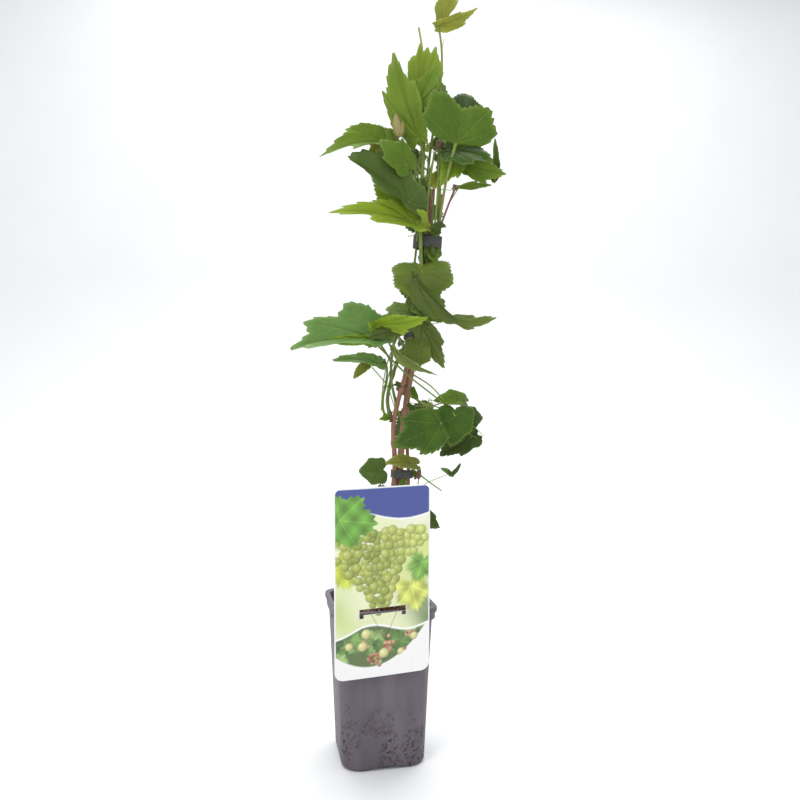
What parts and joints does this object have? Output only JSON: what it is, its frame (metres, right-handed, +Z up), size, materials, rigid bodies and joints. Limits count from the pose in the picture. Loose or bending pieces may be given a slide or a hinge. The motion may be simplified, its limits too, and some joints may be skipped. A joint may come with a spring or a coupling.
{
  "type": "potted grapevine",
  "caption": "Young grapevine tied in a slim bundle of canes and leafy shoots, in a square nursery pot with a picture card on its rim.",
  "frame": {"origin": "middle of the pot's flat underside", "axes": "+Z up, +X to the right when the card is seen from the front, -Y towards the front, where the card hangs"},
  "size_m": [0.2032, 0.136, 0.7593],
  "materials": {
    "pot_plastic": "moulded slate-grey plastic with a soft sheen, specked with dried soil",
    "compost": "moist brown compost with bark chips",
    "card_print": "coated card with a printed picture, white edge",
    "tie_band": "dark grey plastic tie band",
    "cane_bark": "reddish-brown striated bark",
    "green_stem": "green and reddish young stem, faintly ribbed",
    "leaf_mature": "mid green vine leaf with pale veins",
    "leaf_bright": "bright green vine leaf",
    "leaf_dark": "dark green vine leaf",
    "leaf_pale": "pale grey-green underside of a vine leaf",
    "leaf_young": "yellow-green young leaf"
  },
  "bodies": {
    "root": {"pot": "pot_plastic", "soil": "compost", "card": "card_print", "tie_low": "tie_band", "tie_middle": "tie_band", "tie_top": "tie_band", "main_cane": "cane_bark", "second_cane": "cane_bark", "third_cane": "cane_bark", "tall_shoot": "green_stem", "left_shoot": "green_stem", "inner_shoot": "green_stem", "middle_shoot": "green_stem", "right_shoot": "green_stem", "leaf_top": "leaf_young", "leaf_top_side": "leaf_young", "leaf_crest": "leaf_bright", "leaf_sail": "leaf_mature", "leaf_broad_right": "leaf_mature", "leaf_behind_right": "leaf_dark", "leaf_under_right": "leaf_mature", "leaf_hook_right": "leaf_mature", "leaf_arch_right": "leaf_bright", "leaf_strip_right": "leaf_mature", "leaf_left_wing": "leaf_mature", "leaf_left_cup": "leaf_mature", "leaf_dark_fold": "leaf_dark", "leaf_under_fold": "leaf_bright", "leaf_shelf": "leaf_bright", "leaf_heart": "leaf_mature", "leaf_long_fold": "leaf_dark", "leaf_edge_right": "leaf_mature", "leaf_under_heart": "leaf_mature", "leaf_great_left": "leaf_pale", "leaf_small_left": "leaf_dark", "leaf_bright_strip": "leaf_bright", "leaf_grey_chip": "leaf_pale", "leaf_drop_right": "leaf_dark", "leaf_drop_middle": "leaf_mature", "leaf_pale_strip": "leaf_pale", "leaf_left_spray": "leaf_pale", "leaf_left_drop": "leaf_young", "leaf_crescent": "leaf_mature", "leaf_great_low": "leaf_mature", "leaf_bright_low": "leaf_mature", "leaf_dark_low": "leaf_dark", "leaf_shade_low": "leaf_dark", "leaf_yellow_low": "leaf_young", "leaf_left_low": "leaf_dark", "leaf_low_tuft": "leaf_dark", "leaf_low_right": "leaf_dark", "leaf_back_crown": "leaf_mature", "leaf_back_right": "leaf_mature", "leaf_back_left": "leaf_bright", "leaf_back_fold": "leaf_dark", "leaf_back_middle": "leaf_mature", "leaf_back_wing": "leaf_mature", "leaf_back_low": "leaf_dark", "leaf_back_foot": "leaf_mature"}
  },
  "joints": []
}
